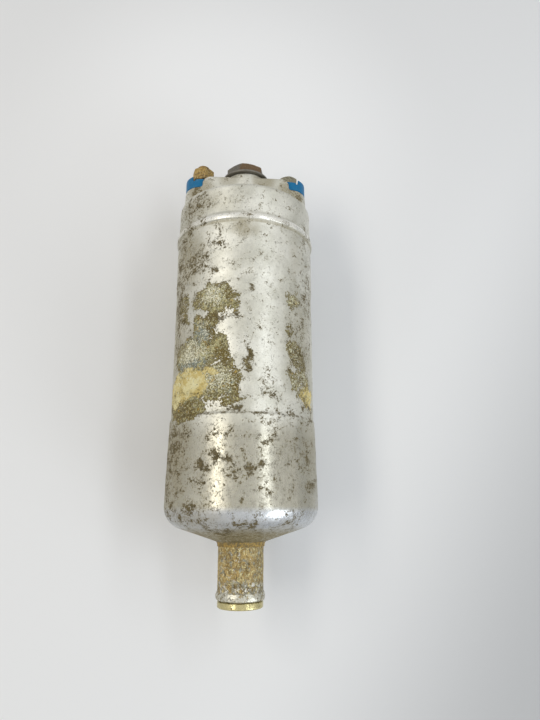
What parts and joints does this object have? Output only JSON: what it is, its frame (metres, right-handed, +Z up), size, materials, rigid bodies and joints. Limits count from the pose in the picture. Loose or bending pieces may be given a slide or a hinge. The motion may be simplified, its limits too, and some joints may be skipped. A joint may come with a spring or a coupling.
{
  "type": "fuel pump",
  "caption": "Inline electric fuel pump in a drawn aluminium can, with hose spigot, hexagonal outlet fitting and two insulated stud terminals.",
  "frame": {"origin": "on the pump's axis, in the middle of the plain 48 mm length that a clamp band grips", "axes": "+Y along the flow, from hose spigot to outlet; +X towards the smaller terminal; +Z up in the picture's view"},
  "size_m": [0.054, 0.169, 0.054],
  "materials": {
    "can_aluminium": "drawn, weathered and pitted",
    "cast_aluminium": "die cast, dull and stained",
    "spigot_aluminium": "tube with ochre and white corrosion",
    "inlet_brass": "golden passivated end ring",
    "mesh_brass": "woven wire",
    "blue_plastic": "saturated blue insulator",
    "outlet_steel": "dark grey with rust",
    "outlet_gasket": "dark grey crushed washer",
    "positive_hardware": "yellow corroded brass",
    "negative_hardware": "dull olive plated steel",
    "rubber": "matt black",
    "pump_steel": "ground",
    "spring_steel": "bright wire",
    "flux_steel": "plated tube",
    "ferrite": "matt ceramic",
    "lamination": "stacked sheet",
    "copper": "enamelled copper",
    "commutator_copper": "turned copper",
    "bronze": "sintered bronze",
    "carbon": "graphite",
    "brown_plastic": "phenolic moulding",
    "white_plastic": "acetal"
  },
  "bodies": {
    "pump_body": {"housing": "can_aluminium", "spigot_tube": "spigot_aluminium", "end_cover": "cast_aluminium", "inlet_strainer_ring": "inlet_brass", "inlet_strainer_mesh": "mesh_brass", "suction_plate": "pump_steel", "cam_ring": "pump_steel", "pressure_plate": "pump_steel", "plate_screws": "pump_steel", "relief_spring": "spring_steel", "relief_retainer": "bronze", "pump_side_bush": "bronze", "cover_side_bush": "bronze", "flux_tube": "flux_steel", "magnet_1": "ferrite", "magnet_2": "ferrite", "magnet_clips": "spring_steel", "brush_holder": "brown_plastic", "cover_o_ring": "rubber", "positive_washer": "positive_hardware", "positive_spring_washer": "positive_hardware", "positive_nut": "positive_hardware", "positive_stud": "positive_hardware", "negative_washer": "negative_hardware", "negative_spring_washer": "negative_hardware", "negative_nut": "negative_hardware", "negative_stud": "negative_hardware", "outlet_washer": "outlet_gasket", "outlet_fitting": "outlet_steel", "valve_spring": "spring_steel", "valve_retainer": "bronze", "brush_spring_1": "spring_steel", "brush_lead_1": "copper", "brush_spring_2": "spring_steel", "brush_lead_2": "copper", "positive_insulator": "blue_plastic", "positive_lower_bush": "white_plastic", "positive_seal": "rubber", "negative_insulator": "blue_plastic", "negative_lower_bush": "white_plastic", "negative_seal": "rubber"},
    "armature": {"shaft": "pump_steel", "armature_core": "lamination", "core_insulators": "brown_plastic", "armature_winding": "copper", "commutator_hub": "brown_plastic", "commutator_segments": "commutator_copper", "thrust_washers": "white_plastic", "drive_coupling": "white_plastic", "pump_rotor": "pump_steel"},
    "relief_ball": {"relief_ball": "pump_steel"},
    "outlet_valve": {"valve_poppet": "bronze"},
    "brush_1": {"brush_1": "carbon"},
    "brush_2": {"brush_2": "carbon"},
    "roller_1": {"roller_1": "pump_steel"},
    "roller_2": {"roller_2": "pump_steel"},
    "roller_3": {"roller_3": "pump_steel"},
    "roller_4": {"roller_4": "pump_steel"},
    "roller_5": {"roller_5": "pump_steel"}
  },
  "joints": [
    {"name": "armature_spin", "type": "hinge", "parent": "pump_body", "child": "armature", "pos_m": [0, 0, 0], "axis": [0, 1, 0], "continuous": true},
    {"name": "relief_ball_lift", "type": "slide", "parent": "pump_body", "child": "relief_ball", "axis": [0, -1, 0], "range_m": [0, 0.0012], "stiffness_N_per_m": 4000, "springref_m": -0.0019, "deforming": ["relief_spring"]},
    {"name": "outlet_valve_lift", "type": "slide", "parent": "pump_body", "child": "outlet_valve", "axis": [0, 1, 0], "range_m": [0, 0.0015], "stiffness_N_per_m": 200, "springref_m": -0.002, "deforming": ["valve_spring"]},
    {"name": "brush_1_slide", "type": "slide", "parent": "pump_body", "child": "brush_1", "axis": [0, 1, 0], "range_m": [0, 0.003], "stiffness_N_per_m": 300, "springref_m": -0.005, "deforming": ["brush_spring_1", "brush_lead_1"]},
    {"name": "brush_2_slide", "type": "slide", "parent": "pump_body", "child": "brush_2", "axis": [0, 1, 0], "range_m": [0, 0.003], "stiffness_N_per_m": 300, "springref_m": -0.005, "deforming": ["brush_spring_2", "brush_lead_2"]},
    {"name": "roller_1_roll", "type": "hinge", "parent": "armature", "child": "roller_1", "pos_m": [0.01137, -0.04, -0.00826], "axis": [0, 1, 0], "continuous": true},
    {"name": "roller_2_roll", "type": "hinge", "parent": "armature", "child": "roller_2", "pos_m": [-0.00434, -0.04, -0.01336], "axis": [0, 1, 0], "continuous": true},
    {"name": "roller_3_roll", "type": "hinge", "parent": "armature", "child": "roller_3", "pos_m": [-0.01405, -0.04, 0], "axis": [0, 1, 0], "continuous": true},
    {"name": "roller_4_roll", "type": "hinge", "parent": "armature", "child": "roller_4", "pos_m": [-0.00434, -0.04, 0.01336], "axis": [0, 1, 0], "continuous": true},
    {"name": "roller_5_roll", "type": "hinge", "parent": "armature", "child": "roller_5", "pos_m": [0.01137, -0.04, 0.00826], "axis": [0, 1, 0], "continuous": true}
  ],
  "couplings": [
    {"joint": "roller_1_roll", "follows": "armature_spin", "ratio": -6.0667},
    {"joint": "roller_2_roll", "follows": "armature_spin", "ratio": -6.0667},
    {"joint": "roller_3_roll", "follows": "armature_spin", "ratio": -6.0667},
    {"joint": "roller_4_roll", "follows": "armature_spin", "ratio": -6.0667},
    {"joint": "roller_5_roll", "follows": "armature_spin", "ratio": -6.0667}
  ]
}
